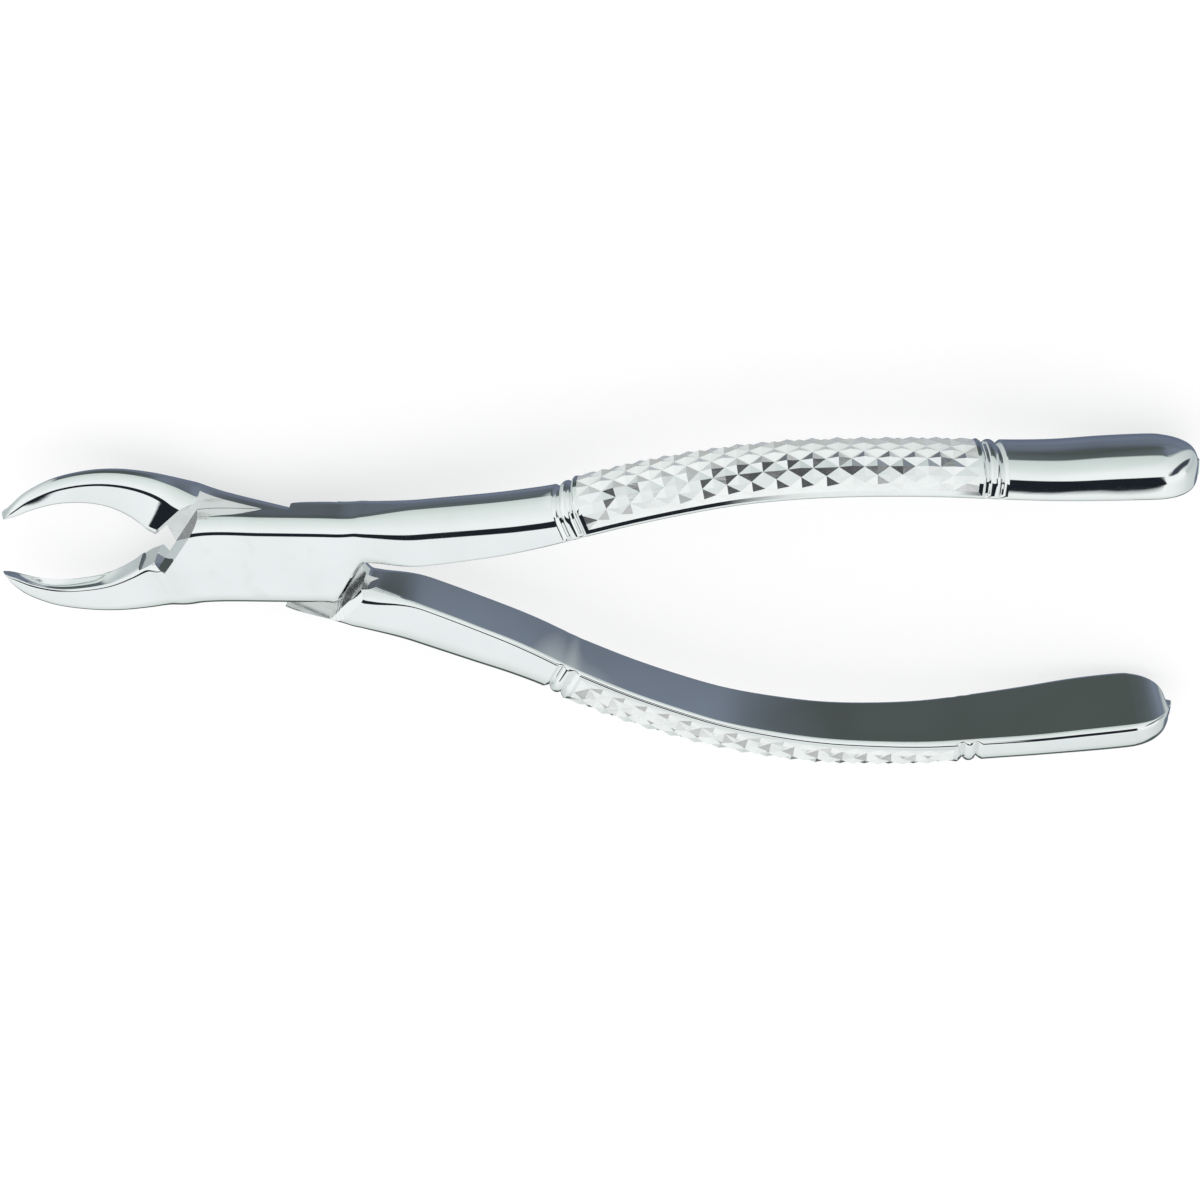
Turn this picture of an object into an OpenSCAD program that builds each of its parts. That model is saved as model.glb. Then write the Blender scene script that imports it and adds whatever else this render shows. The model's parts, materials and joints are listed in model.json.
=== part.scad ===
// Extraction forceps: two forged halves that cross at a lap joint and turn on one flush rivet.
// +X runs from the joint to the handle ends, Z is the rivet's axis, and z = 0 is the joint's back face.

/* [Joint] */
// Angle between the two halves as they stand open
open_angle = 16.2; // [14:0.1:19]
// Angle left between the halves when the beak tips meet
closed_angle = 2; // [1:0.5:4]
// Thickness of the lap joint
joint_t = 7.6; // [7:0.1:8.4]
// Radius of the rivet
rivet_r = 2.6; // [2:0.1:3.2]
// Radial clearance of the rivet in the rear half
rivet_play = 0.03; // [0.02:0.01:0.08]
// Gap between the two lap faces
lap_gap = 0.06; // [0.04:0.01:0.2]

/* [Mesh] */
// Rings between two stations of a forging
ring_steps = 3; // [2:1:5]
// Points around a ring
ring_points = 24; // [16:4:32]

/* [Hidden] */
$fn = 64;
mid_z = joint_t / 2;
big = 60;

// Stations of one half, from the beak tip to the handle end. Each is a line across the forging:
// x and y of its lower end, its length, its lean from +Y, the thickness along Z,
// the height of its middle over the lap plane, and the twist about the path.
beak_stations = [
    [-38.4, -0.5, 1.0, 24, 1.5, 6.0, 0],
    [-37.6, -2.0, 1.8, -8, 1.9, 5.7, 0],
    [-36.0, -4.1, 2.6, -26, 2.3, 4.95, 0],
    [-32.6, -6.6, 3.6, -20, 2.7, 3.75, 0],
    [-28.2, -8.3, 4.6, -6, 3.1, 2.5, 0],
    [-23.8, -9.1, 5.7, 4, 3.6, 1.5, 0],
    [-19.3, -9.1, 7.1, 14, 4.3, 0.7, 0],
    [-15.6, -8.6, 8.5, 21, 5.4, 0.2, 0]
];
joint_stations = [
    [-12.6, -8.2, 9.3, 24, 6.8, 0.1, 0],
    [-10.2, -7.7, 12.2, 18, 7.7, 0, 0],
    [-7.0, -7.5, 15.4, 15, 7.8, 0, 0],
    [0, -7.5, 15.3, 0, 7.8, 0, 0],
    [7.5, -7.5, 15.3, -6, 7.8, 0, 0],
    [9.8, -7.3, 15.1, -8, 7.8, 0, 0],
    [12.2, -3.8, 11.7, -8, 7.8, 0, 0],
    [14.4, -0.6, 8.5, -3, 7.8, 0, 0],
    [16.4, -0.1, 8.1, 1, 7.8, 0, 0]
];
handle_stations = [
    [22.6, 0.1, 8.5, 4, 7.9, -0.1, 0],
    [33.6, 1.8, 8.0, 11, 8.0, -0.2, 0],
    [40, 3.2, 7.4, 14, 8.2, -0.4, 0],
    [45.4, 4.7, 6.9, 15, 8.3, -0.5, 0],
    [48.6, 5.6, 7.4, 15, 8.4, -0.65, 0],
    [55.5, 7.3, 7.4, 12, 8.6, -1.2, 0],
    [63, 8.75, 7.2, 9, 8.75, -1.95, 0],
    [70, 9.7, 7.0, 5, 8.8, -2.75, 1],
    [77.4, 10.0, 6.9, 1, 9.0, -3.8, 2],
    [84.7, 9.8, 6.7, -4, 9.25, -4.95, 3],
    [92, 9.05, 6.5, -7, 9.6, -6.4, 4],
    [99.3, 7.95, 6.3, -10, 10.2, -8.1, 5],
    [106.5, 6.4, 5.9, -12, 10.9, -10.1, 6],
    [114, 4.75, 6.0, -12, 11.7, -12.4, 7],
    [121, 3.2, 6.5, -12, 12.2, -14.9, 8],
    [127, 2.0, 6.7, -11, 12.2, -16.9, 8]
];

// The palm pad ends in a blunt dome beyond its last station: its length, how thin each of its rings
// gets, and how far its path falls sideways and backwards for each millimetre of length.
dome_length = 6.7;
dome_fall = [-0.19, -0.3];
dome_angles = [18, 36, 54, 70, 82, 90];
function dome_station(s, a) =
    let (
        run = dome_length * sin(a),
        open = max(cos(a), 0.02),
        length = s[2] * pow(open, 0.45)
    )
    [
        s[0] + run,
        s[1] + dome_fall[0] * run + 0.35 * (s[2] - length),
        length,
        s[3],
        s[4] * pow(open, 0.9),
        s[5] + dome_fall[1] * run,
        s[6]
    ];
dome_stations = [for (a = dome_angles) dome_station(handle_stations[len(handle_stations) - 1], a)];
stations = concat(beak_stations, joint_stations, handle_stations, dome_stations);
n_st = len(stations);

// Outline of everything on a half's own side of the lap plane near the joint, with its clearance.
lap_outline = [
    [-18.6, -1.1], [-17, 0.5], [-12.9, 6.6], [-6.8, 13.4], [17, 13.4],
    [17, -0.3], [14.3, -1.1], [10.3, -7.9], [-18.6, -7.9]
];

// Catmull-Rom curve through the stations
function knot(i) = stations[min(max(i, 0), n_st - 1)];
function curve(a, b, c, d, t) =
    0.5 * (2 * b + (c - a) * t + (2 * a - 5 * b + 4 * c - d) * t * t + (3 * b - a - 3 * c + d) * t * t * t);
function station_at(i, t) = curve(knot(i - 1), knot(i), knot(i + 1), knot(i + 2), t);
rings = [
    for (i = [0 : n_st - 2]) for (k = [0 : ring_steps - 1]) station_at(i, k / ring_steps),
    knot(n_st - 1)
];
n_ring = len(rings);

// Frame of a ring: middle, direction across the forging and direction through its thickness
function ring_mid(s) = [s[0] - s[2] / 2 * sin(s[3]), s[1] + s[2] / 2 * cos(s[3]), s[5]];
function unit(v) = v / norm(v);
function tangent(i) = unit(ring_mid(rings[min(i + 1, n_ring - 1)]) - ring_mid(rings[max(i - 1, 0)]));
function across(i) = [-sin(rings[i][3]), cos(rings[i][3]), 0];
function through(i) = unit(cross(tangent(i), across(i)));

// A section is a rectangle with four rounded corners. Its sharper side is the inner one: the upper
// side in the beak and the lower side in the handle. Corner radii are shares of the half thickness.
function blend(x, a, b) = let (t = min(max((x - a) / (b - a), 0), 1)) t * t * (3 - 2 * t);
function beak_part(x) = 1 - blend(x, -20, -11);
function handle_part(x) = blend(x, 12, 24);
function upper_share(x) = 0.6 - 0.25 * beak_part(x) + 0.36 * handle_part(x);
function lower_share(x) = 0.75 + 0.2 * beak_part(x) - 0.6 * handle_part(x);
function section_point(s, k) =
    let (
        arc = ring_points / 4,
        corner = floor(k / arc),
        a = corner * 90 + (k % arc) / (arc - 1) * 90,
        upper = corner == 0 || corner == 3,
        rz = s[4] / 2 * (upper ? upper_share(s[0]) : lower_share(s[0])),
        ry = min(rz, 0.6 * s[2]),
        y = (upper ? 1 : -1) * (s[2] / 2 - ry) + ry * cos(a),
        z = (corner < 2 ? 1 : -1) * (s[4] / 2 - rz) + rz * sin(a)
    )
    [y, z];
function ring_point(i, k) =
    let (
        s = rings[i],
        q = section_point(s, k),
        y = q[0] * cos(s[6]) + q[1] * sin(s[6]),
        z = q[1] * cos(s[6]) - q[0] * sin(s[6])
    )
    ring_mid(s) + y * across(i) + z * through(i);

// The closed skin of one half, swept through all its rings
module forging() {
    n = ring_points;
    points = [for (i = [0 : n_ring - 1]) for (k = [0 : n - 1]) ring_point(i, k)];
    sides = [
        for (i = [0 : n_ring - 2]) for (k = [0 : n - 1])
            let (a = i * n + k, b = i * n + (k + 1) % n)
            each [[a, b, b + n], [a, b + n, a + n]]
    ];
    tip = [for (k = [0 : n - 1]) n - 1 - k];
    end = [for (k = [0 : n - 1]) (n_ring - 1) * n + k];
    polyhedron(points = points, faces = concat(sides, [tip, end]), convexity = 8);
}

// Room for the other half below the lap plane, over its whole travel
module recess() {
    for (a = [closed_angle : (open_angle - closed_angle) / 4 : open_angle])
        translate([0, 0, lap_gap / 2 - big])
            linear_extrude(big)
                mirror([0, 1])
                    rotate(a)
                        polygon(lap_outline);
}

// Flat front and back faces of the joint
module face_cuts() {
    for (side = [0, 1])
        mirror([0, 0, side])
            translate([-11, -10, mid_z])
                cube([25, 20, 3]);
}

// One half as it lies closed along +X; the recess takes away its back, or its front when leaf_up is false
module half(leaf_up) {
    difference() {
        forging();
        mirror([0, 0, leaf_up ? 0 : 1])
            recess();
        face_cuts();
    }
}

// Bore for the rivet, through both faces of the joint
module bore(r) {
    translate([0, 0, -1])
        cylinder(r = r, h = joint_t + 2);
}

module front_half() {
    color("silver")
        difference() {
            translate([0, 0, mid_z])
                half(true);
            bore(rivet_r);
        }
}

module rear_half() {
    color("lightsteelblue")
        difference() {
            translate([0, 0, mid_z])
                rotate(-open_angle)
                    mirror([0, 1, 0])
                        half(false);
            bore(rivet_r + rivet_play);
        }
}

module joint_rivet() {
    color("gray")
        cylinder(r = rivet_r, h = joint_t);
}

front_half();
rear_half();
joint_rivet();
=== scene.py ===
import json
import math

import bmesh
import bpy
import numpy as np
from mathutils import Matrix, Vector


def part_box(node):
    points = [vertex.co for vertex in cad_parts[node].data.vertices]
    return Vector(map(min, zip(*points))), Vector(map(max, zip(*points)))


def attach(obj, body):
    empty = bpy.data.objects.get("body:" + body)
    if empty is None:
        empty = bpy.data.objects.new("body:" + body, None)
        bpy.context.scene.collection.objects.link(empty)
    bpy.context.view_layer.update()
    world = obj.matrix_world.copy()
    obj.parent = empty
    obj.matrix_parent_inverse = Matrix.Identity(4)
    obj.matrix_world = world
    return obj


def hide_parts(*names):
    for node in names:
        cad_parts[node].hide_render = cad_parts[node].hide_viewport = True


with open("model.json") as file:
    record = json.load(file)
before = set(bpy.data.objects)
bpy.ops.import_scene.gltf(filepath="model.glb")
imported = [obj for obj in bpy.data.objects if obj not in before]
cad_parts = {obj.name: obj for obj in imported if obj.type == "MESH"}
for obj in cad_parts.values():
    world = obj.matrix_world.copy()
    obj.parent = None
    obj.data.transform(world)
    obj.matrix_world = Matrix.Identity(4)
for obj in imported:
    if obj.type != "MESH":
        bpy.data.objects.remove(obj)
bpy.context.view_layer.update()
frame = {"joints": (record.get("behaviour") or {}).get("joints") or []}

# ---------------------------------------------------------------- stations of one half
# From the beak tip to the handle end, in millimetres. Each is a line across the forging: x and y of
# its lower end, its length, its lean from +Y in degrees, the thickness along Z, the height of its
# middle over the lap plane, and the twist about the path in degrees.
X, Y, LENGTH, LEAN, WIDTH, HEIGHT, TWIST = range(7)
BEAK = [
    [-38.4, -0.5, 1.0, 24, 1.5, 6.0, 0],
    [-37.6, -2.0, 1.8, -8, 1.9, 5.7, 0],
    [-36.0, -4.1, 2.6, -26, 2.3, 4.95, 0],
    [-32.6, -6.6, 3.6, -20, 2.7, 3.75, 0],
    [-28.2, -8.3, 4.6, -6, 3.1, 2.5, 0],
    [-23.8, -9.1, 5.7, 4, 3.6, 1.5, 0],
    [-19.3, -9.1, 7.1, 14, 4.3, 0.7, 0],
    [-15.6, -8.6, 8.5, 21, 5.4, 0.2, 0],
]
JOINT = [
    [-12.6, -8.2, 9.3, 24, 6.8, 0.1, 0],
    [-10.2, -7.7, 12.2, 18, 7.6, 0, 0],
    [-7.0, -7.5, 15.4, 15, 7.6, 0, 0],
    [0, -7.5, 15.3, 0, 7.6, 0, 0],
    [7.5, -7.5, 15.3, -6, 7.6, 0, 0],
    [9.8, -7.3, 15.1, -8, 7.6, 0, 0],
    [12.2, -3.8, 11.7, -8, 7.6, 0, 0],
    [14.4, -0.6, 8.5, -3, 7.6, 0, 0],
    [16.4, -0.1, 8.1, 1, 7.6, 0, 0],
]
HANDLE = [
    [22.6, 0.1, 8.5, 4, 7.8, -0.1, 0],
    [33.6, 1.8, 8.0, 11, 8.0, -0.2, 0],
    [40, 3.2, 7.4, 14, 8.2, -0.4, 0],
    [45.4, 4.7, 6.9, 15, 8.3, -0.5, 0],
    [48.6, 5.6, 7.4, 15, 8.4, -0.65, 0],
    [55.5, 7.3, 7.4, 12, 8.6, -1.2, 0],
    [63, 8.75, 7.2, 9, 8.75, -1.95, 0],
    [70, 9.7, 7.0, 5, 8.8, -2.75, 1],
    [77.4, 10.0, 6.9, 1, 9.0, -3.8, 2],
    [84.7, 9.8, 6.7, -4, 9.25, -4.95, 3],
    [92, 9.05, 6.5, -7, 9.6, -6.4, 4],
    [99.3, 7.95, 6.3, -10, 10.2, -8.1, 5],
    [106.5, 6.4, 5.9, -12, 10.9, -10.1, 6],
    [114, 4.75, 6.0, -12, 11.7, -12.4, 7],
    [121, 3.2, 6.5, -12, 12.2, -14.9, 8],
    [127, 2.0, 6.7, -11, 12.2, -16.9, 8],
]

# Blunt end of the palm pad: its length, how far it falls sideways and backwards for each millimetre,
# how much it leans in as it gets shorter, the powers that round its length and its thickness, and the
# share of its size that is left at the tip
DOME_LENGTH = 6.7
DOME_FALL = (-0.19, -0.3)
DOME_LEAN_IN = 0.35
DOME_ROUNDNESS = (0.45, 0.9)
DOME_TIP = 0.02
DOME_ANGLES = (18, 36, 54, 70, 82, 90)


def dome_station(angle):
    """Station on the blunt end of the palm pad, from 0 degrees where it begins to 90 at its tip."""
    x, y, length, lean, width, height, twist = HANDLE[-1]
    run = DOME_LENGTH * math.sin(math.radians(angle))
    opening = max(math.cos(math.radians(angle)), DOME_TIP)
    short = length * opening**DOME_ROUNDNESS[0]
    thin = width * opening**DOME_ROUNDNESS[1]
    y += DOME_FALL[0] * run + DOME_LEAN_IN * (length - short)
    return [x + run, y, short, lean, thin, height + DOME_FALL[1] * run, twist]


STATIONS = np.array(BEAK + JOINT + HANDLE + [dome_station(a) for a in DOME_ANGLES])

# Outline of everything on a half's own side of the lap plane near the joint, with its clearance. The
# other half's room for it starts LAP_GAP / 2 past the lap plane, is cut at LAP_CUTS angles over the
# travel, and widens by MOUTH_BEVEL at the face of the joint.
LAP_OUTLINE = [
    (-18.6, -1.1), (-17, 0.5), (-12.9, 6.6), (-6.8, 13.4), (17, 13.4),
    (17, -0.3), (14.3, -1.1), (10.3, -7.9), (-18.6, -7.9),
]
LAP_GAP = 0.06
LAP_CUTS = 5
MOUTH_BEVEL = 1.1
MOUTH_DEPTH = 6
CLOSED_ANGLE = 2.0

# How far the cutting tools reach past what they cut
THROUGH = 9

# Ground edges of the leaf: the line each follows, then the (z, offset) of its foot and its head. The
# crotch of the beaks is cut straight through along its own line.
LEAF_BEVELS = [
    (((-8.6, 8.9), (-15.6, -1.2)), (-0.2, 0.4), (4.8, -0.6)),
    (((9.0, -8.6), (15.2, 0.3)), (2.0, 0.7), (4.8, -1.6)),
]
CROTCH_LINE = ((-15.0, 0.8), (-19.4, -1.6))

# Hollow of the beak's inner face: its depth, its half width as a share of the thickness, and where
# it grows to full depth and where it fades
HOLLOW_DEPTH = 0.75
HOLLOW_REACH = 0.42
HOLLOW_STARTS = (-38, -34)
HOLLOW_ENDS = (-27, -19)

# Two V grooves with a bead between them at each end of the grip: their half width, depth and middles,
# where they fade round the inner corners, and how full the bead and the outer flanks are
GROOVE_HALF = 0.85
GROOVE_DEPTH = 0.75
GROOVE_PAIRS = (46.5, 104.9)
GROOVE_FADE = (0.2, 1.0)
BEAD_POWER = 1.2
FLANK_POWER = 1.3

# Cut pattern between the grooves: rows along the grip, columns around its back, the depth of the
# groove crossings, of the pyramid tops and of the plain bands beside them, the spread of the filing
# in depth and in place, and the step over which the back's slope is measured
PATTERN_ROWS = 33
PATTERN_COLUMNS = 10
PATTERN_GAP = 0.5
PATTERN_DEPTH = 0.52
TOP_DEPTH = 0.03
BAND_DEPTH = 0.14
BAND_WIDTH = 1.6
BAND_EDGE = 0.35
DEPTH_SPREAD = (-0.03, 0.05)
PLACE_SPREAD = 0.09
SLOPE_STEP = 0.05

# Material slots of a half's mesh, and the columns of each half's grip whose facets are polished
# brightly instead of satin
SATIN_SLOT = 1
BRIGHT_SLOT = 2
FRONT_BRIGHT = range(7, 10)
REAR_BRIGHT = range(-1, 8)

# Corner radii of a section as shares of its half thickness: at the joint, and how they change in the
# beak and in the handle. A corner reaches no further along the section than CORNER_LIMIT of its length.
UPPER_SHARES = (0.6, -0.25, 0.36)
LOWER_SHARES = (0.75, 0.2, -0.6)
BEAK_ENDS = (-20, -11)
HANDLE_STARTS = (12, 24)
CORNER_LIMIT = 0.6

# Points of a section's rounded corner, between two corners of its back and across a pair of grooves,
# the step along the path, the rings of the dome for each of its stations, and the points at which the
# path's x is tabulated
CORNER_POINTS = 20
BRIDGE_POINTS = 8
GROOVE_POINTS = 21
RING_STEP = 0.45
DOME_RINGS = 7
PATH_POINTS = 6000

# Edges that turn by more than CREASE stay crisp; points closer than WELD metres are one, and a gap of
# up to SLIVER_SIDES edges that a cut leaves is closed. MITRE limits how far an outline's corners run.
CREASE = math.radians(14)
WELD = 1e-7
SLIVER_SIDES = 4
MITRE = 0.5

# Rivet: the bore's room in the pressed and in the running half, the leaf's cover over its front end,
# and (height, how much less than the radius) up its back end
PRESSED_ROOM = 0.01
RUNNING_ROOM = 0.05
LEAF_COVER = 0.35
RIVET_SHORT = 0.4
RIVET_CROWN = [(0.04, 0.25), (0.12, 0.06), (0.25, 0)]
RIVET_BEVEL = 0.2
CIRCLE_POINTS = 96


# ---------------------------------------------------------------- the forging's path and sections
def rows_at(u):
    """Stations at the places u along a Catmull-Rom curve, whole numbers being the given ones."""
    u = np.asarray(u, float)
    last = len(STATIONS) - 1
    i = np.minimum(np.floor(u).astype(int), last - 1)
    t = (u - i)[:, None]
    a, b, c, d = (STATIONS[np.clip(i + k, 0, last)] for k in (-1, 0, 1, 2))
    square = (2 * a - 5 * b + 4 * c - d) * t**2
    cube = (3 * b - a - 3 * c + d) * t**3
    return 0.5 * (2 * b + (c - a) * t + square + cube)


U_FINE = np.linspace(0, len(STATIONS) - 1, PATH_POINTS)
X_FINE = rows_at(U_FINE)[:, X]


def rows_at_x(x):
    """Stations at the places x along the path."""
    return rows_at(np.interp(x, X_FINE, U_FINE))


def blend(x, low, high):
    """Smooth step from 0 at the low limit to 1 at the high one."""
    t = np.clip((x - low) / (high - low), 0, 1)
    return t * t * (3 - 2 * t)


def ring_frames(rows):
    """Middle, direction across and direction through the thickness for every ring."""
    lean = np.radians(rows[:, LEAN])
    across = np.stack([-np.sin(lean), np.cos(lean), 0 * lean], 1)
    middle = np.stack([rows[:, X], rows[:, Y], rows[:, HEIGHT]], 1) + across * rows[:, LENGTH, None] / 2
    tangent = np.gradient(middle, axis=0)
    through = np.cross(tangent, across)
    through /= np.linalg.norm(through, axis=1)[:, None]
    return middle, across, through


def sections(rows):
    """Sections as (rings, columns, 2) points, from one corner of the lower side round to the other."""
    x, length, half = rows[:, X], rows[:, LENGTH], rows[:, WIDTH] / 2
    beak = 1 - blend(x, *BEAK_ENDS)
    handle = blend(x, *HANDLE_STARTS)
    corners = []
    for start, up, front in ((180, -1, -1), (270, 1, -1), (0, 1, 1), (90, -1, 1)):
        at_joint, in_beak, in_handle = UPPER_SHARES if up > 0 else LOWER_SHARES
        rz = half * (at_joint + in_beak * beak + in_handle * handle)
        ry = np.minimum(rz, CORNER_LIMIT * length)
        a = np.radians(start + np.linspace(0, 90, CORNER_POINTS))[None]
        y = (up * (length / 2 - ry))[:, None] + ry[:, None] * np.cos(a)
        z = (front * (half - rz))[:, None] + rz[:, None] * np.sin(a)
        corners.append(np.stack([y, z], 2))
    share = np.linspace(0, 1, BRIDGE_POINTS + 2)[None, 1:-1, None]
    bridge = corners[1][:, -1:] * (1 - share) + corners[2][:, :1] * share
    return np.concatenate([corners[0], corners[1], bridge, corners[2], corners[3]], 1)


def outward(points):
    """Outward unit normals of closed sections."""
    step = np.roll(points, -1, 1) - np.roll(points, 1, 1)
    normal = np.stack([step[..., 1], -step[..., 0]], 2)
    return normal / np.linalg.norm(normal, axis=2)[..., None]


def in_space(rows, points):
    """Section points carried to their rings' places in the half's own frame."""
    middle, across, through = ring_frames(rows)
    twist = np.radians(rows[:, TWIST])[:, None]
    y = points[..., 0] * np.cos(twist) + points[..., 1] * np.sin(twist)
    z = points[..., 1] * np.cos(twist) - points[..., 0] * np.sin(twist)
    return middle[:, None] + y[..., None] * across[:, None] + z[..., None] * through[:, None]


def hollow_beak(rows, points):
    """Scoops the inner face of the beak between its edges."""
    x = rows[:, X]
    depth = HOLLOW_DEPTH * blend(x, *HOLLOW_STARTS) * (1 - blend(x, *HOLLOW_ENDS))
    reach = rows[:, WIDTH] * HOLLOW_REACH
    across = 1 - (points[..., 1] / reach[:, None]) ** 2
    inner = points[..., 0] > 0
    points[..., 0] -= np.where(inner, np.clip(across, 0, 1) * depth[:, None], 0)


def groove_depth(x):
    """Depth of the grip's grooves at each x: a sharp bottom on both sides of a round bead."""
    depth = 0 * x
    for middle in GROOVE_PAIRS:
        off = np.abs(x - middle) / GROOVE_HALF
        bead = GROOVE_DEPTH * (1 - np.sqrt(np.clip(1 - off**2, 0, 1)) ** BEAD_POWER)
        flank = GROOVE_DEPTH * np.clip(2 - off, 0, 1) ** FLANK_POWER
        depth = np.maximum(depth, np.where(off < 1, bead, flank))
    return depth


# First and last column of the curved back, between the two corners of the flat inner side
BACK_FIRST = CORNER_POINTS - 1
BACK_LAST = 3 * CORNER_POINTS + BRIDGE_POINTS


def dense_block(rows):
    """Rings of the plain forging, with the hollow of the beak and the grooves beside the grip."""
    points = sections(rows)
    columns = np.arange(points.shape[1])
    from_edge = np.minimum(columns, points.shape[1] - 1 - columns) / (CORNER_POINTS - 1)
    fade = blend(from_edge, *GROOVE_FADE)
    depth = groove_depth(rows[:, X])[:, None] * fade[None]
    points = points - outward(points) * depth[..., None]
    hollow_beak(rows, points)
    return in_space(rows, points)


def pattern_block(rows):
    """Rings of the cut grip: pyramid tops and groove crossings alternate over the curved back."""
    full = sections(rows)
    rng = np.random.default_rng(11)
    count = len(rows)
    out = []
    for i in range(count):
        back = full[i, BACK_FIRST:BACK_LAST + 1]
        run = np.concatenate([[0], np.cumsum(np.linalg.norm(np.diff(back, axis=0), axis=1))])
        start, end = BAND_WIDTH, run[-1] - BAND_WIDTH
        step = (end - start) / PATTERN_COLUMNS
        at = start + step * np.arange(-1, PATTERN_COLUMNS + 2)
        at[0] = BAND_WIDTH * BAND_EDGE
        at[-1] = run[-1] - BAND_WIDTH * BAND_EDGE
        drop = np.full(len(at), BAND_DEPTH)
        for j in range(PATTERN_COLUMNS + 1):
            top = (i + j) % 2 == 0
            drop[j + 1] = (TOP_DEPTH if top else PATTERN_DEPTH) + rng.uniform(*DEPTH_SPREAD)
            at[j + 1] += rng.uniform(-PLACE_SPREAD, PLACE_SPREAD) if top else 0
        if i in (0, count - 1):
            drop[:] = BAND_DEPTH
        place = np.stack([np.interp(at, run, back[:, k]) for k in (0, 1)], 1)
        ahead = np.stack([np.interp(at + SLOPE_STEP, run, back[:, k]) for k in (0, 1)], 1)
        behind = np.stack([np.interp(at - SLOPE_STEP, run, back[:, k]) for k in (0, 1)], 1)
        way = ahead - behind
        normal = np.stack([way[:, 1], -way[:, 0]], 1) / np.linalg.norm(way, axis=1)[:, None]
        place = place - normal * drop[:, None]
        out.append(np.concatenate([full[i, :BACK_FIRST + 1], place, full[i, BACK_LAST:]]))
    return in_space(rows, np.array(out))


def forging_rings():
    """The three blocks of rings of one half: beak to grip, cut grip, and grip to handle end."""
    start, end = (m - s * 2 * GROOVE_HALF for m, s in zip(GROOVE_PAIRS, (1, -1)))
    inner = [m + s * 2 * GROOVE_HALF for m, s in zip(GROOVE_PAIRS, (1, -1))]
    notches = [GROOVE_HALF * np.linspace(-2, 2, GROOVE_POINTS) + m for m in GROOVE_PAIRS]
    first_x = X_FINE[0]
    steps = int((start - first_x) / RING_STEP)
    lead = np.linspace(first_x, start, steps)[:-1]
    shank = rows_at_x(np.concatenate([lead, notches[0]]))
    grip = rows_at_x(np.linspace(inner[0] + PATTERN_GAP, inner[1] - PATTERN_GAP, PATTERN_ROWS))
    pad_end = HANDLE[-1][X]
    tail = np.linspace(end, pad_end, int((pad_end - end) / RING_STEP))[1:]
    whole = len(STATIONS) - 1
    dome_u = np.linspace(whole - len(DOME_ANGLES), whole, len(DOME_ANGLES) * DOME_RINGS)[1:]
    pad = np.concatenate([rows_at_x(np.concatenate([notches[1], tail])), rows_at(dome_u)])
    return dense_block(shank), pattern_block(grip), dense_block(pad)


def grid_faces(first, rings, columns):
    """Quads of a block of dense rings."""
    faces = []
    for i in range(rings - 1):
        for k in range(columns):
            a, b = first + i * columns + k, first + i * columns + (k + 1) % columns
            faces.append((a, b, b + columns, a + columns))
    return faces


def pattern_faces(first, rings, columns):
    """Faces of the cut grip, split along the grooves over the pattern."""
    faces = []
    for i in range(rings - 1):
        for k in range(columns):
            a, b = first + i * columns + k, first + i * columns + (k + 1) % columns
            c, d = b + columns, a + columns
            j = k - BACK_FIRST - 2
            if -1 <= j <= PATTERN_COLUMNS:
                top_first = (i + j) % 2 == 0
                faces += [(a, b, d), (b, c, d)] if top_first else [(a, b, c), (a, c, d)]
            else:
                faces.append((a, b, c, d))
    return faces


def zip_faces(points, one, two, flip):
    """Triangles between two lists of vertices that run side by side."""
    run = []
    for line in (one, two):
        place = np.array([points[k] for k in line])
        length = np.concatenate([[0], np.cumsum(np.linalg.norm(np.diff(place, axis=0), axis=1))])
        run.append(length / length[-1])
    faces = []
    i = j = 0
    while i < len(one) - 1 or j < len(two) - 1:
        step_one = j == len(two) - 1 or (i < len(one) - 1 and run[0][i + 1] <= run[1][j + 1])
        if step_one:
            face = (one[i], one[i + 1], two[j])
            i += 1
        else:
            face = (one[i], two[j + 1], two[j])
            j += 1
        faces.append(tuple(reversed(face)) if flip else face)
    return faces


def join_faces(points, dense, coarse, flip):
    """Faces between a dense ring and a grip ring, given as lists of vertices."""
    middle_dense = dense[BACK_FIRST:BACK_LAST + 1]
    middle_coarse = coarse[BACK_FIRST:len(coarse) - (len(dense) - BACK_LAST - 1)]
    faces = zip_faces(points, middle_dense, middle_coarse, flip)
    tail_dense = dense[BACK_LAST:] + dense[:BACK_FIRST + 1]
    tail_coarse = coarse[len(coarse) - (len(dense) - BACK_LAST):] + coarse[:BACK_FIRST + 1]
    return faces + zip_faces(points, tail_dense, tail_coarse, flip)


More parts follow.
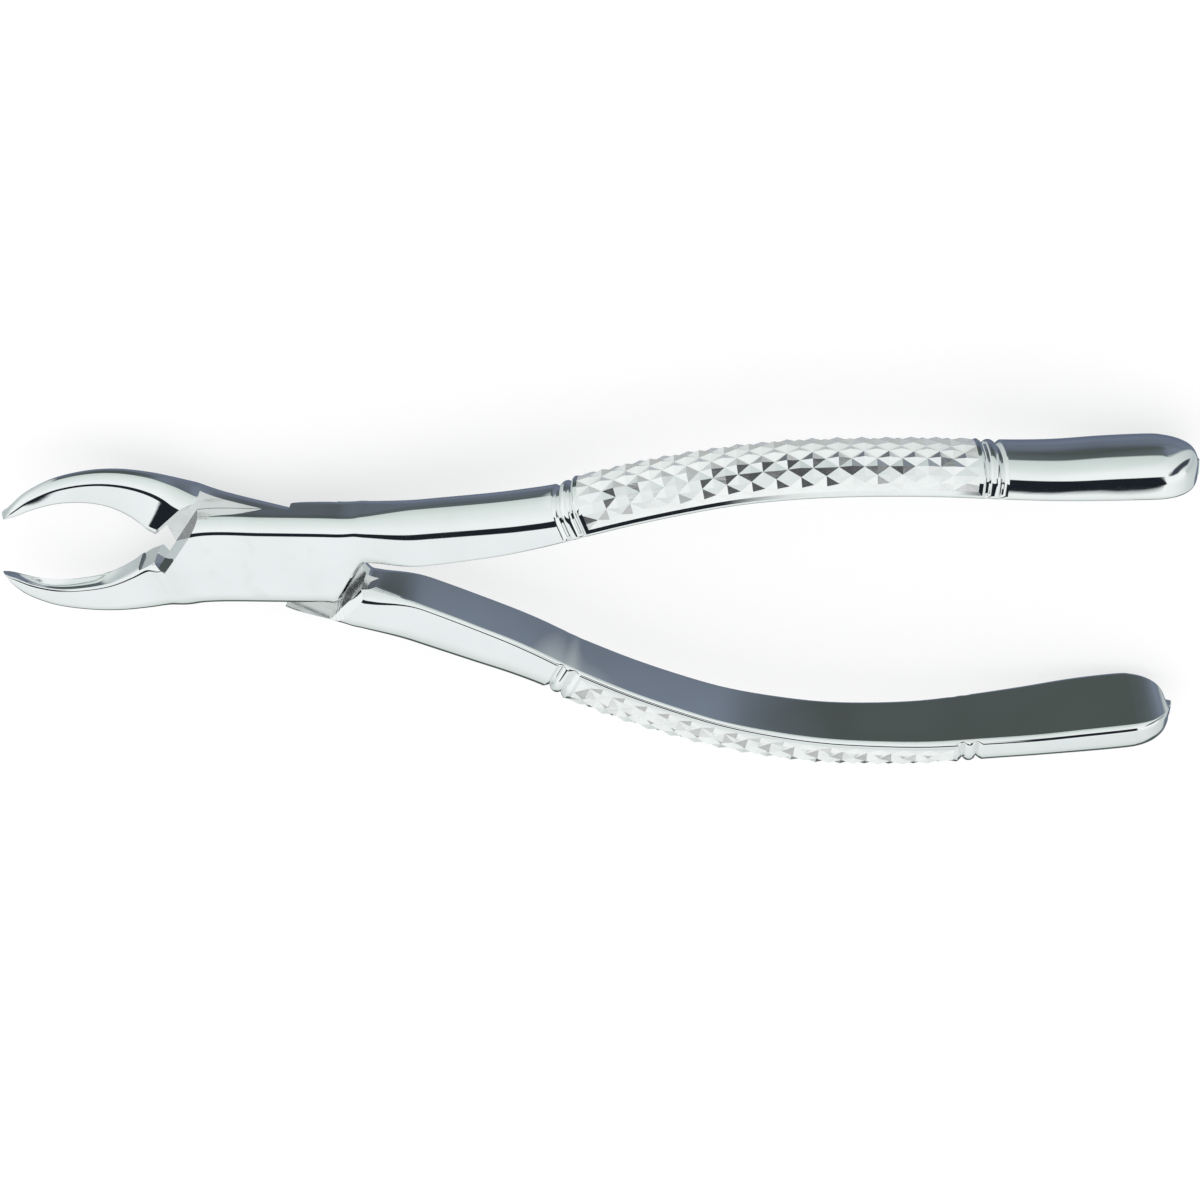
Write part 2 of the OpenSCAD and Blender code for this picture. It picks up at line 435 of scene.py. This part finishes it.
def forging_mesh(name, bright_columns):
    """One half before its lap is cut; the grip is satin with a few brighter columns of facets."""
    blocks = forging_rings()
    firsts, points = [], []
    for block in blocks:
        firsts.append(len(points))
        points += block.reshape(-1, 3).tolist()
    (n0, c0), (n1, c1), (n2, c2) = (b.shape[:2] for b in blocks)
    faces = grid_faces(firsts[0], n0, c0)
    first_cut = len(faces)
    faces += pattern_faces(firsts[1], n1, c1)
    last_cut = len(faces)
    faces += grid_faces(firsts[2], n2, c2)
    shank_end = [firsts[0] + (n0 - 1) * c0 + k for k in range(c0)]
    grip_start = [firsts[1] + k for k in range(c1)]
    grip_end = [firsts[1] + (n1 - 1) * c1 + k for k in range(c1)]
    pad_start = [firsts[2] + k for k in range(c2)]
    faces += join_faces(points, shank_end, grip_start, False)
    faces += join_faces(points, pad_start, grip_end, True)
    faces.append(tuple(reversed(range(c0))))
    faces.append(tuple(firsts[2] + (n2 - 1) * c2 + k for k in range(c2)))
    mesh = bpy.data.meshes.new(name)
    mesh.from_pydata(points, [], faces)
    mesh.update()
    for k in range(first_cut, last_cut):
        if len(faces[k]) == 3:
            column = (faces[k][0] - firsts[1]) % c1 - BACK_FIRST - 2
            mesh.polygons[k].material_index = BRIGHT_SLOT if column in bright_columns else SATIN_SLOT
    return mesh


# ---------------------------------------------------------------- cutting tools
def add_object(name, mesh, material=None):
    """Links a mesh to the scene as a named object."""
    piece = bpy.data.objects.new(name, mesh)
    bpy.context.scene.collection.objects.link(piece)
    if material:
        mesh.materials.append(material)
    return piece


def offset_outline(outline, distance):
    """The outline moved outwards by a distance, its corners kept sharp; it runs clockwise."""
    moved = []
    for i, here in enumerate(outline):
        before, after = Vector(outline[i - 1]), Vector(outline[(i + 1) % len(outline)])
        here = Vector(here)
        n1 = (here - before).normalized().orthogonal()
        n2 = (after - here).normalized().orthogonal()
        out = (n1 + n2).normalized()
        moved.append(here + out * (distance / max(out.dot(n1), MITRE)))
    return moved


def stack_prism(name, levels):
    """Closed body from (z, outline) levels of equal point counts."""
    count = len(levels[0][1])
    points = [(p[0], p[1], z) for z, outline in levels for p in outline]
    faces = []
    for i in range(len(levels) - 1):
        for k in range(count):
            a, b = i * count + k, i * count + (k + 1) % count
            faces.append((a, b, b + count, a + count))
    faces.append(tuple(reversed(range(count))))
    faces.append(tuple((len(levels) - 1) * count + k for k in range(count)))
    mesh = bpy.data.meshes.new(name)
    mesh.from_pydata(points, [], faces)
    bm = bmesh.new()
    bm.from_mesh(mesh)
    bmesh.ops.recalc_face_normals(bm, faces=bm.faces)
    bm.to_mesh(mesh)
    bm.free()
    return mesh


def circle(radius):
    """Outline of a circle about the origin."""
    turns = (2 * math.pi * k / CIRCLE_POINTS for k in range(CIRCLE_POINTS))
    return [(radius * math.cos(t), radius * math.sin(t)) for t in turns]


def boolean(target, tool, operation):
    """Applies a boolean and removes the tool."""
    modifier = target.modifiers.new("cut", "BOOLEAN")
    modifier.operation = operation
    modifier.solver = "EXACT"
    modifier.object = tool
    modifier.material_mode = "TRANSFER"
    graph = bpy.context.evaluated_depsgraph_get()
    result = bpy.data.meshes.new_from_object(target.evaluated_get(graph))
    target.modifiers.clear()
    old = target.data
    target.data = result
    bpy.data.meshes.remove(old)
    bpy.data.objects.remove(tool)


def edge_tool(line, low, high, material):
    """Body beyond a line on the leaf, its face leaning from one (z, offset) to another."""
    first, second = (Vector(p) for p in line)
    out = (first - second).orthogonal().normalized()
    levels = []
    for z, offset in (low, high):
        near = [first + out * offset, second + out * offset]
        levels.append((z, near + [near[1] + out * THROUGH, near[0] + out * THROUGH]))
    return add_object("edge", stack_prism("edge", levels), material)


def recess_tool(materials):
    """Room for the other half below the lap plane over its whole travel, with bevelled mouths."""
    mouth = -JOINT_T / 2
    levels = [
        (mouth - MOUTH_DEPTH, MOUTH_BEVEL + MOUTH_DEPTH),
        (mouth, MOUTH_BEVEL),
        (mouth + MOUTH_BEVEL, 0),
        (LAP_GAP / 2, 0),
    ]
    walls = (len(levels) - 1) * len(LAP_OUTLINE)
    body = None
    for k in range(LAP_CUTS):
        angle = CLOSED_ANGLE + (OPEN_ANGLE - CLOSED_ANGLE) * k / (LAP_CUTS - 1)
        turn = Matrix.Rotation(math.radians(angle), 4, "Z")
        mesh = stack_prism("recess", [(z, offset_outline(LAP_OUTLINE, grow)) for z, grow in levels])
        mesh.transform(Matrix.Scale(-1, 4, (0, 1, 0)) @ turn)
        mesh.flip_normals()
        for material in materials:
            mesh.materials.append(material)
        for face in mesh.polygons:
            face.material_index = 1 if face.index < walls else 0
        tool = add_object("recess", mesh)
        if body:
            boolean(body, tool, "UNION")
        else:
            body = tool
    return body


# ---------------------------------------------------------------- sizes from the frame
rivet_low, rivet_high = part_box("joint_rivet")
front_low, front_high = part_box("front_half")
raw = np.concatenate([b.reshape(-1, 3) for b in forging_rings()])

# One millimetre of the stations in the frame's metres, so that no side of a half leaves the CAD box
HALF_JOINT = JOINT[3][WIDTH] / 2
reaches = [front_high.x / raw[:, 0].max(), front_low.x / raw[:, 0].min()]
MM = min(reaches + [front_low.z / (raw[:, 2].min() + HALF_JOINT)])
JOINT_T = (rivet_high.z - rivet_low.z) / MM
RIVET_R = (rivet_high.x - rivet_low.x) / 2 / MM
OPEN_ANGLE = CLOSED_ANGLE + frame["joints"][0]["range_deg"][1]


# ---------------------------------------------------------------- materials
class Graph:
    """Short names for building a node tree."""

    def __init__(self, tree):
        self.tree = tree
        tree.nodes.clear()

    def node(self, kind, inputs=None, **settings):
        """A new node; an input is either another node's socket or a plain value."""
        made = self.tree.nodes.new(kind)
        for name, value in settings.items():
            setattr(made, name, value)
        for name, value in (inputs or {}).items():
            if isinstance(value, bpy.types.NodeSocket):
                self.tree.links.new(value, made.inputs[name])
            else:
                made.inputs[name].default_value = value
        return made

    def math(self, operation, a, b=None, c=None):
        inputs = {k: v for k, v in enumerate((a, b, c)) if v is not None}
        return self.node("ShaderNodeMath", inputs, operation=operation).outputs[0]

    def noise(self, vector, scale, detail=2.0):
        made = self.node("ShaderNodeTexNoise", {"Vector": vector, "Scale": scale, "Detail": detail})
        return made.outputs["Fac"]

    def ramp(self, value, stops):
        made = self.node("ShaderNodeValToRGB", {0: value})
        elements = made.color_ramp.elements
        while len(elements) > 1:
            elements.remove(elements[0])
        elements[0].position, elements[0].color = stops[0]
        for position, colour in stops[1:]:
            elements.new(position).color = colour
        return made.outputs["Color"]

    def mix(self, amount, one, two):
        """Colour between one and two; inputs 6 and 7 of the node are its colours, output 2 theirs."""
        return self.node("ShaderNodeMix", {0: amount, 6: one, 7: two}, data_type="RGBA").outputs[2]

    def band(self, value, low, high, soft):
        """1 between two limits and 0 outside them."""
        rise = self.remap(value, low - soft, low + soft, 0, 1)
        fall = self.remap(value, high - soft, high + soft, 1, 0)
        return self.math("MULTIPLY", rise, fall)

    def remap(self, value, low, high, to_low, to_high):
        inputs = {"Value": value, "From Min": low, "From Max": high, "To Min": to_low, "To Max": to_high}
        return self.node("ShaderNodeMapRange", inputs).outputs["Result"]


def grey(value):
    """A neutral colour."""
    return (value, value, value, 1)


# Noise scales per metre of the smudges, the fine dulling, the stain's patches and the drawn scratches,
# the smudges' share of the colour, and the stain's colour and its reach from the joint in metres
SMUDGE_SCALE = 120
FINE_SCALE = 900
PATCH_SCALE = 260
DRAWN_SCALE = (90, 1400, 1400)
SCRATCH_DISTANCE = 0.00002
SMUDGED = 0.965
STAIN_COLOUR = (0.50, 0.46, 0.38, 1)
STAIN_REACH = (0.008, 0.030)


def steel(name, colour, rough, rough_spread, scratch_depth, stain, metal=1.0):
    """Stainless steel with smudges, fine scratches and a faint stain near the joint.

    A share of metal below 1 mixes in a plain pale surface, as the fine facets of a cut grip scatter
    more light than a mirror.
    """
    material = bpy.data.materials.new(name)
    material.use_nodes = True
    g = Graph(material.node_tree)
    place = g.node("ShaderNodeTexCoord").outputs["Object"]
    drawn = g.node("ShaderNodeMapping", {"Vector": place, "Scale": DRAWN_SCALE}).outputs[0]
    smudge = g.noise(place, SMUDGE_SCALE, 4)
    fine = g.noise(place, FINE_SCALE, 3)
    streak = g.noise(drawn, 1.0, 2)
    patch = g.noise(place, PATCH_SCALE, 5)
    distance = g.node("ShaderNodeVectorMath", {0: place}, operation="LENGTH").outputs["Value"]
    near = g.remap(distance, *STAIN_REACH, 1, 0)
    spots = g.remap(patch, 0.56, 0.72, 0, stain)
    amount = g.math("MULTIPLY", near, spots)
    smudged = (*(channel * SMUDGED for channel in colour), 1)
    tone = g.ramp(smudge, [(0.35, (*colour, 1)), (0.65, smudged)])
    stained = g.mix(amount, tone, STAIN_COLOUR)
    smeared = g.remap(smudge, 0.4, 0.75, 0, rough_spread)
    dulled = g.remap(fine, 0.5, 0.8, 0, rough_spread)
    roughness = g.math("ADD", g.math("ADD", smeared, dulled), rough)
    scratch = {"Height": streak, "Strength": scratch_depth, "Distance": SCRATCH_DISTANCE}
    bump = g.node("ShaderNodeBump", scratch)
    shader = g.node("ShaderNodeBsdfPrincipled", {
        "Base Color": stained,
        "Metallic": metal,
        "Roughness": roughness,
        "Normal": bump.outputs[0],
    })
    g.node("ShaderNodeOutputMaterial", {"Surface": shader.outputs[0]})
    return material


# Name, colour, roughness and its spread, strength of the scratches and strength of the stain
polished = steel("polished_steel", (0.93, 0.94, 0.935), 0.035, 0.03, 0.05, 0.12)
ground = steel("ground_steel", (0.80, 0.81, 0.80), 0.14, 0.10, 0.5, 0.2)
rivet_steel = steel("rivet_steel", (0.84, 0.845, 0.84), 0.10, 0.06, 0.2, 0.12)
satin = steel("satin_cut_steel", (0.90, 0.92, 0.91), 0.16, 0.06, 0.3, 0.0, metal=0.52)
bright = steel("bright_cut_steel", (0.92, 0.93, 0.93), 0.08, 0.05, 0.3, 0.0, metal=0.93)


# ---------------------------------------------------------------- pieces
def finish_mesh(piece):
    """Closes slivers, keeps edges crisp where the surface really turns, and cut facets flat."""
    mesh = piece.data
    bm = bmesh.new()
    bm.from_mesh(mesh)
    bmesh.ops.remove_doubles(bm, verts=bm.verts, dist=WELD)
    open_edges = [edge for edge in bm.edges if edge.is_boundary]
    bmesh.ops.holes_fill(bm, edges=open_edges, sides=SLIVER_SIDES)
    for edge in bm.edges:
        edge.smooth = len(edge.link_faces) == 2 and edge.calc_face_angle(0) < CREASE
    cut = [k for k, material in enumerate(mesh.materials) if material in (satin, bright)]
    for face in bm.faces:
        face.smooth = face.material_index not in cut
    bm.to_mesh(mesh)
    bm.free()


def build_half(name, body, leaf_up):
    """One half, its leaf in front or behind; both are cut from the same forging."""
    columns = FRONT_BRIGHT if leaf_up else REAR_BRIGHT
    piece = add_object(name, forging_mesh(name, columns), polished)
    for material in (satin, bright):
        piece.data.materials.append(material)
    tools = [recess_tool((ground, polished))]
    tools += [edge_tool(line, low, high, polished) for line, low, high in LEAF_BEVELS]
    tools.append(edge_tool(CROTCH_LINE, (-THROUGH, 0), (THROUGH, 0), ground))
    for tool in tools:
        if not leaf_up:
            tool.data.transform(Matrix.Scale(-1, 4, (0, 0, 1)))
            tool.data.flip_normals()
        boolean(piece, tool, "DIFFERENCE")
    wall = circle(RIVET_R + (PRESSED_ROOM if leaf_up else RUNNING_ROOM))
    levels = [(-THROUGH, wall), (JOINT_T / 2 - LEAF_COVER if leaf_up else THROUGH, wall)]
    boolean(piece, add_object("bore", stack_prism("bore", levels), ground), "DIFFERENCE")
    if not leaf_up:
        mirror = Matrix.Scale(-1, 4, (0, 1, 0))
        piece.data.transform(Matrix.Rotation(math.radians(-OPEN_ANGLE), 4, "Z") @ mirror)
        piece.data.flip_normals()
    piece.data.transform(Matrix.Translation((0, 0, JOINT_T / 2)))
    piece.data.transform(Matrix.Scale(MM, 4))
    finish_mesh(piece)
    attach(piece, body)
    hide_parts(body + "_half")


def build_rivet():
    """Flush rivet, its back end dressed to a shallow crown and its front end hidden in the leaf."""
    top = JOINT_T - RIVET_SHORT
    profile = RIVET_CROWN + [(top - RIVET_BEVEL, 0), (top, RIVET_BEVEL)]
    levels = [(z, circle(RIVET_R - less)) for z, less in profile]
    piece = add_object("rivet_flush", stack_prism("rivet_flush", levels), rivet_steel)
    piece.data.transform(Matrix.Scale(MM, 4))
    finish_mesh(piece)
    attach(piece, "front")
    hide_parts("joint_rivet")


build_half("front_half_steel", "front", True)
build_half("rear_half_steel", "rear", False)
build_rivet()

# ---------------------------------------------------------------- stage, light and camera
# Angles in degrees; the camera's distance, the width it sees there and the place of the pivot in
# its picture, from the middle to the right and up, in metres
CAMERA_TILT = 36
CAMERA_YAW = -10.4
CAMERA_ROLL = 0.5
CAMERA_DISTANCE = 0.9
VIEW_WIDTH = 0.17518
PIVOT_ACROSS = (-0.0482, 0.0069)
SENSOR_WIDTH = 36
CLIP_RANGE = (0.05, 50)

# How the forceps would lie: the floor's slope about Y in degrees, and its height under the pivot
FLOOR_SLOPE = 7.5
FLOOR_HEIGHT = -0.0045
FLOOR_REACH = 3.0
FLOOR_GLOW = 0.6


def turned(one, other, angle):
    """Two perpendicular directions, turned in their plane from the first towards the other."""
    cosine, sine = math.cos(angle), math.sin(angle)
    return one * cosine + other * sine, other * cosine - one * sine


def camera_axes():
    """The camera's right, up and back directions."""
    tilt, yaw, roll = (math.radians(a) for a in (CAMERA_TILT, CAMERA_YAW, CAMERA_ROLL))
    right = Vector((1, 0, 0))
    up = Vector((0, math.cos(tilt), -math.sin(tilt)))
    back = Vector((0, math.sin(tilt), math.cos(tilt)))
    right, back = turned(right, back, yaw)
    right, up = turned(right, up, roll)
    return right, up, back


def add_camera():
    """The camera, aimed so that the pivot falls at its place in the picture."""
    right, up, back = camera_axes()
    target = Vector((0, 0, JOINT_T * MM / 2)) - right * PIVOT_ACROSS[0] - up * PIVOT_ACROSS[1]
    data = bpy.data.cameras.new("camera")
    camera = bpy.data.objects.new("camera", data)
    bpy.context.scene.collection.objects.link(camera)
    camera.matrix_world = Matrix((right, up, back)).transposed().to_4x4()
    camera.location = target + back * CAMERA_DISTANCE
    data.sensor_width = SENSOR_WIDTH
    data.lens = data.sensor_width * CAMERA_DISTANCE / VIEW_WIDTH
    data.clip_start, data.clip_end = CLIP_RANGE
    bpy.context.scene.camera = camera


# What the steel mirrors, by the angle in degrees of the direction about +X, from +Z towards +Y. The
# dark backdrop is seen only between the pale walls at both ends.
STUDIO = [
    (-180, (0.13, 0.16, 0.23)), (-140, (0.12, 0.15, 0.20)), (-126, (0.07, 0.09, 0.08)),
    (-104, (0.08, 0.10, 0.09)), (-96, (0.66, 0.72, 0.70)), (-60, (0.80, 0.85, 0.85)),
    (-36, (0.88, 0.92, 0.93)), (-20, (0.93, 0.96, 0.97)), (20, (0.90, 0.94, 0.95)),
    (80, (0.74, 0.81, 0.79)), (115, (0.60, 0.68, 0.66)), (119, (0.075, 0.095, 0.085)),
    (140, (0.075, 0.09, 0.09)), (158, (0.11, 0.13, 0.17)), (179, (0.14, 0.17, 0.24)),
]
WALLS = [
    (-180, (0.50, 0.55, 0.56)), (-120, (0.62, 0.68, 0.67)), (-60, (0.84, 0.88, 0.88)),
    (-20, (0.97, 0.99, 1.0)), (60, (0.90, 0.94, 0.94)), (120, (0.66, 0.72, 0.71)),
    (179, (0.50, 0.55, 0.56)),
]

# The backdrop is open between the walls; a veil of cloud lightens it below VEIL_ANGLE. The dark shapes
# are a long gap overhead, a card across it over the handles, and a patch beyond the handles' ends. All
# are (low, high, softness) bands of the angle, of the mirrored direction's X (sides) or its Y (rises).
OPEN_SIDES = (-0.47, 0.47, 0.04)
GAP_ANGLES, GAP_SIDES = (-29, -3, 1.0), (-0.70, 0.60, 0.04)
CARD_ANGLES, CARD_SIDES = (-29, 26, 2.0), (0.37, 0.66, 0.03)
PATCH_SIDES, PATCH_RISES = (0.80, 0.94, 0.02), (0.25, 0.60, 0.05)
VEIL_ANGLE = 120
VEIL_COLOUR = (0.20, 0.24, 0.31, 1)
DARK_COLOUR = (0.012, 0.016, 0.022, 1)
PATCH_COLOUR = (0.05, 0.06, 0.08, 1)


def studio_world():
    """The world: plain white light, and the studio only for what the steel mirrors."""
    world = bpy.data.worlds.new("studio")
    bpy.context.scene.world = world
    world.use_nodes = True
    g = Graph(world.node_tree)
    way = g.node("ShaderNodeTexCoord").outputs["Generated"]
    part = g.node("ShaderNodeSeparateXYZ", {0: way}).outputs
    side = part["X"]
    angle = g.math("DEGREES", g.math("ARCTAN2", part["Y"], part["Z"]))
    turn = g.remap(angle, -180, 180, 0, 1)
    backdrop, walls = (
        g.ramp(turn, [((at + 180) / 360, (*colour, 1)) for at, colour in stops])
        for stops in (STUDIO, WALLS)
    )
    cloud = g.noise(way, 2.2, 2)
    low_side = g.math("GREATER_THAN", g.math("ABSOLUTE", angle), VEIL_ANGLE)
    veil = g.math("ADD", g.remap(cloud, 0.42, 0.62, 0, 0.4), g.remap(side, 0.14, 0.34, 0, 0.45))
    backdrop = g.mix(g.math("MULTIPLY", low_side, veil), backdrop, VEIL_COLOUR)
    seen = g.mix(g.band(side, *OPEN_SIDES), walls, backdrop)
    gap = g.math("MULTIPLY", g.band(angle, *GAP_ANGLES), g.band(side, *GAP_SIDES))
    card = g.math("MULTIPLY", g.band(angle, *CARD_ANGLES), g.band(side, *CARD_SIDES))
    seen = g.mix(g.math("MAXIMUM", gap, card), seen, DARK_COLOUR)
    patch = g.math("MULTIPLY", g.band(side, *PATCH_SIDES), g.band(part["Y"], *PATCH_RISES))
    seen = g.mix(patch, seen, PATCH_COLOUR)
    mirrored = g.node("ShaderNodeBackground", {"Color": seen})
    plain = g.node("ShaderNodeBackground", {"Color": (1, 1, 1, 1)})
    glossy = g.node("ShaderNodeLightPath").outputs["Is Glossy Ray"]
    mix = g.node("ShaderNodeMixShader", {0: glossy, 1: plain.outputs[0], 2: mirrored.outputs[0]})
    g.node("ShaderNodeOutputWorld", {"Surface": mix.outputs[0]})


def add_floor():
    """Pale floor under the pads and the back of the joint, on which the forceps would lie."""
    mesh = bpy.data.meshes.new("floor")
    corners = [(x * FLOOR_REACH, y * FLOOR_REACH, 0) for x, y in ((-1, -1), (1, -1), (1, 1), (-1, 1))]
    mesh.from_pydata(corners, [], [(0, 1, 2, 3)])
    material = bpy.data.materials.new("floor")
    material.use_nodes = True
    g = Graph(material.node_tree)
    place = g.node("ShaderNodeTexCoord").outputs["Object"]
    tone = g.ramp(g.noise(place, 6, 2), [(0.3, grey(0.955)), (0.7, grey(0.965))])
    diffuse = g.node("ShaderNodeBsdfDiffuse", {"Color": tone})
    glow = g.node("ShaderNodeEmission", {"Color": (1, 1, 1, 1), "Strength": 1.0})
    shader = g.node("ShaderNodeMixShader", {0: FLOOR_GLOW, 1: diffuse.outputs[0], 2: glow.outputs[0]})
    g.node("ShaderNodeOutputMaterial", {"Surface": shader.outputs[0]})
    piece = add_object("floor", mesh, material)
    piece.matrix_world = Matrix.Rotation(math.radians(FLOOR_SLOPE), 4, "Y")
    piece.location.z = FLOOR_HEIGHT
    piece.visible_glossy = False


def add_softbox():
    """A broad lamp over the joint, which the steel doesn't mirror."""
    data = bpy.data.lights.new("softbox", "AREA")
    data.shape = "DISK"
    data.size = 1.6
    data.energy = 3
    lamp = bpy.data.objects.new("softbox", data)
    bpy.context.scene.collection.objects.link(lamp)
    lamp.location = (0.05, 0, 1.2)
    lamp.visible_glossy = False


add_camera()
studio_world()
add_floor()
add_softbox()
bpy.context.scene.view_settings.view_transform = "Standard"
